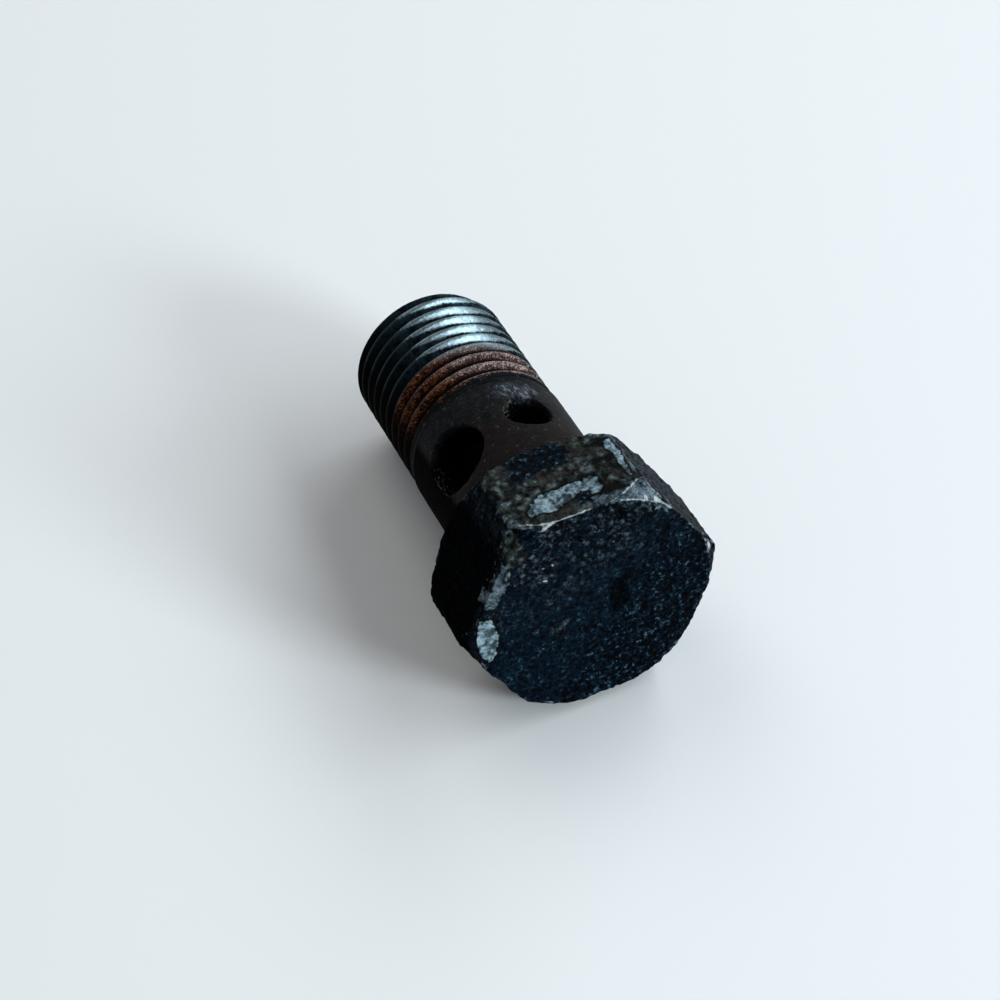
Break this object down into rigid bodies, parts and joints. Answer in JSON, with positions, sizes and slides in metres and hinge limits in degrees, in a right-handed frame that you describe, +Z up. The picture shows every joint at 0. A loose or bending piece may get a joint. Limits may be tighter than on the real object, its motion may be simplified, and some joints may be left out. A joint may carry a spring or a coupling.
{
  "type": "banjo bolt",
  "caption": "Hollow hexagon-head bolt for a banjo fitting: drilled along its threaded shank, with cross holes through its plain neck, worn dark finish and surface rust.",
  "frame": {"origin": "on the surface that the bolt lies on, under the middle of its bounding box", "axes": "+Z is up. +X runs along the bolt from the head to the thread end, level, while the bolt's own axis drops by 6.4 degrees because it lies on a flat of the head and on the thread end. +Y completes the right-handed frame and is level."},
  "size_m": [0.0328, 0.0192, 0.0178],
  "materials": {
    "blackened_steel": "worn dark paint over rough steel, with rust and bare patches"
  },
  "bodies": {
    "root": {"banjo_bolt": "blackened_steel"}
  },
  "joints": []
}
